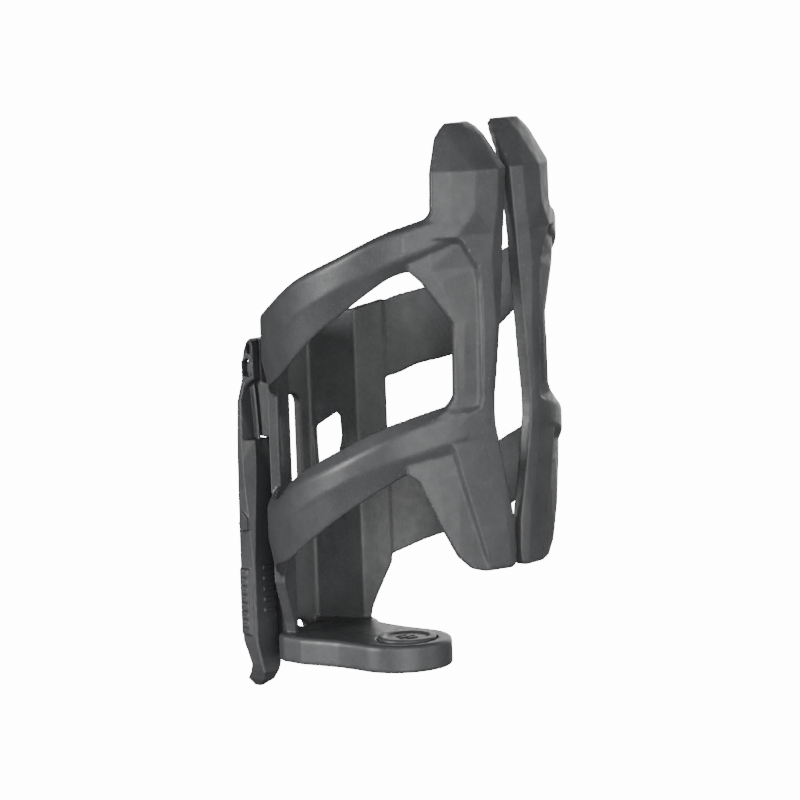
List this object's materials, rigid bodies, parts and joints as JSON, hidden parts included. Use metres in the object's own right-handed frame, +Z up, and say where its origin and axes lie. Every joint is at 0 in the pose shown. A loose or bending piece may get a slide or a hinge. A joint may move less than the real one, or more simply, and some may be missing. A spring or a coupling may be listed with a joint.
{
  "type": "water bottle cage",
  "caption": "Bicycle bottle cage: a channel spine with slanted arms and split front blades round the bottle, a base, and a tyre lever hung beside the spine.",
  "frame": {"origin": "on the flat back of the spine, middle plane, on the solid web between the slot and the lower bolt hole", "axes": "+Z up along the bottle, +Y from the bicycle frame through the bottle, +X to the side that carries the lever"},
  "size_m": [0.08, 0.0928, 0.1593],
  "materials": {
    "cage_nylon": "fine moulded grain, dark grey",
    "disc_nylon": "fine moulded grain, dark grey",
    "lever_nylon": "smooth satin, dark grey"
  },
  "bodies": {
    "cage": {"cage_body": "cage_nylon", "base_disc": "disc_nylon"},
    "tyre_lever": {"tyre_lever": "lever_nylon"}
  },
  "joints": [
    {"name": "lever_slide", "type": "slide", "parent": "cage", "child": "tyre_lever", "axis": [1, 0, 0], "range_m": [0, 0.04]}
  ]
}
